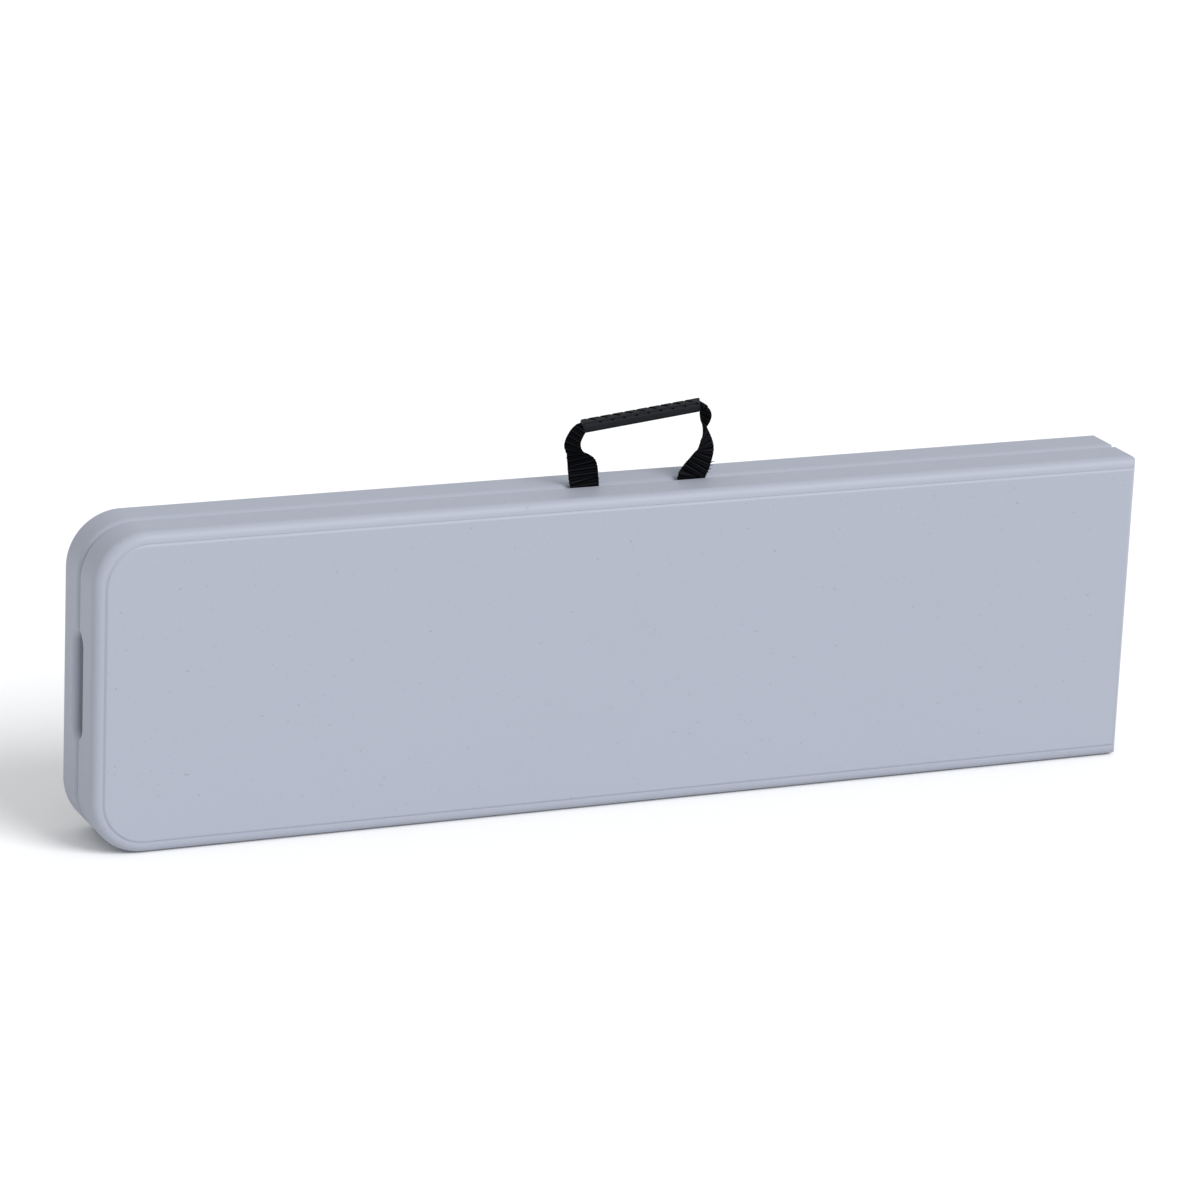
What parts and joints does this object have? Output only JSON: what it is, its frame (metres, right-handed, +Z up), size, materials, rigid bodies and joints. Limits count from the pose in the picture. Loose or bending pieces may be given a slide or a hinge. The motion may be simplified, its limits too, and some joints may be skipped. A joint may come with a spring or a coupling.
{
  "type": "folding table",
  "caption": "Narrow bench-size folding table with a two-piece moulded top, folded like a suitcase, with folding steel legs, braces and a webbing carrying handle.",
  "frame": {"origin": "middle of the folded table at its base: the middle of the lower long edge in the seam plane, hinge knuckles included", "axes": "+Z up the seat's width as it stands on one long edge, +X along the folded length towards the hinge end, -Y out of the front seat face"},
  "size_m": [0.9064, 0.08, 0.3248],
  "materials": {
    "granite_top": "satin moulded polyethylene with fine dark flecks",
    "painted_leg_steel": "grey powder coat",
    "zinc_steel": "zinc plated sheet steel",
    "black_foot_plastic": "soft black plastic",
    "black_grip_plastic": "moulded, slanted finger grooves",
    "black_webbing": "woven polypropylene webbing"
  },
  "bodies": {
    "front_half": {"front_brace_bracket": "zinc_steel", "front_brace_pin": "zinc_steel", "front_bracket_screw_1": "zinc_steel", "front_bracket_screw_2": "zinc_steel", "front_hinge_leaf_lower": "zinc_steel", "front_hinge_leaf_upper": "zinc_steel", "front_leaf_rivet_lower": "zinc_steel", "front_leaf_rivet_upper": "zinc_steel", "front_leg_rivet_lower": "zinc_steel", "front_leg_rivet_upper": "zinc_steel", "front_rail_lower": "zinc_steel", "front_rail_screw_lower_1": "zinc_steel", "front_rail_screw_lower_2": "zinc_steel", "front_rail_screw_upper_1": "zinc_steel", "front_rail_screw_upper_2": "zinc_steel", "front_rail_upper": "zinc_steel", "front_top_panel": "granite_top", "hinge_pin_lower": "zinc_steel", "hinge_pin_upper": "zinc_steel", "strap_anchor_left": "zinc_steel", "strap_anchor_right": "zinc_steel", "strap_rivet_left": "zinc_steel", "strap_rivet_right": "zinc_steel", "strap_tail_left": "black_webbing", "strap_tail_right": "black_webbing"},
    "rear_half": {"rear_brace_bracket": "zinc_steel", "rear_brace_pin": "zinc_steel", "rear_bracket_screw_1": "zinc_steel", "rear_bracket_screw_2": "zinc_steel", "rear_hinge_leaf_lower": "zinc_steel", "rear_hinge_leaf_upper": "zinc_steel", "rear_leaf_rivet_lower": "zinc_steel", "rear_leaf_rivet_upper": "zinc_steel", "rear_leg_rivet_lower": "zinc_steel", "rear_leg_rivet_upper": "zinc_steel", "rear_rail_lower": "zinc_steel", "rear_rail_screw_lower_1": "zinc_steel", "rear_rail_screw_lower_2": "zinc_steel", "rear_rail_screw_upper_1": "zinc_steel", "rear_rail_screw_upper_2": "zinc_steel", "rear_rail_upper": "zinc_steel", "rear_top_panel": "granite_top"},
    "front_leg": {"front_foot_pad_lower": "black_foot_plastic", "front_foot_pad_upper": "black_foot_plastic", "front_leg_crossbar": "painted_leg_steel", "front_leg_tube": "painted_leg_steel"},
    "rear_leg": {"rear_foot_pad_lower": "black_foot_plastic", "rear_foot_pad_upper": "black_foot_plastic", "rear_leg_crossbar": "painted_leg_steel", "rear_leg_tube": "painted_leg_steel"},
    "front_brace": {"front_brace": "painted_leg_steel"},
    "rear_brace": {"rear_brace": "painted_leg_steel"},
    "handle": {"handle_grip": "black_grip_plastic", "handle_strap": "black_webbing"}
  },
  "joints": [
    {"name": "fold", "type": "hinge", "parent": "front_half", "child": "rear_half", "pos_m": [0.44875, 0, 0.13], "axis": [0, 0, -1], "range_deg": [0, 180]},
    {"name": "front_leg_fold", "type": "hinge", "parent": "front_half", "child": "front_leg", "pos_m": [-0.33825, -0.014, 0.13], "axis": [0, 0, 1], "range_deg": [0, 90]},
    {"name": "rear_leg_fold", "type": "hinge", "parent": "rear_half", "child": "rear_leg", "pos_m": [-0.33825, 0.014, 0.13], "axis": [0, 0, -1], "range_deg": [0, 90]},
    {"name": "front_brace_swing", "type": "hinge", "parent": "front_half", "child": "front_brace", "pos_m": [-0.00825, -0.026, 0.13], "axis": [0, 0, -1], "range_deg": [0, 33.28]},
    {"name": "rear_brace_swing", "type": "hinge", "parent": "rear_half", "child": "rear_brace", "pos_m": [-0.00825, 0.026, 0.13], "axis": [0, 0, 1], "range_deg": [0, 33.28]},
    {"name": "handle_swing", "type": "hinge", "parent": "front_half", "child": "handle", "pos_m": [0.01405, -0.0014, 0.2606], "axis": [1, 0, 0], "range_deg": [-65, 65]}
  ],
  "couplings": [
    {"joint": "front_leg_fold", "follows": "fold", "ratio": 0.5},
    {"joint": "rear_leg_fold", "follows": "fold", "ratio": 0.5},
    {"joint": "front_brace_swing", "follows": "fold", "ratio": 0.1849},
    {"joint": "rear_brace_swing", "follows": "fold", "ratio": 0.1849}
  ]
}
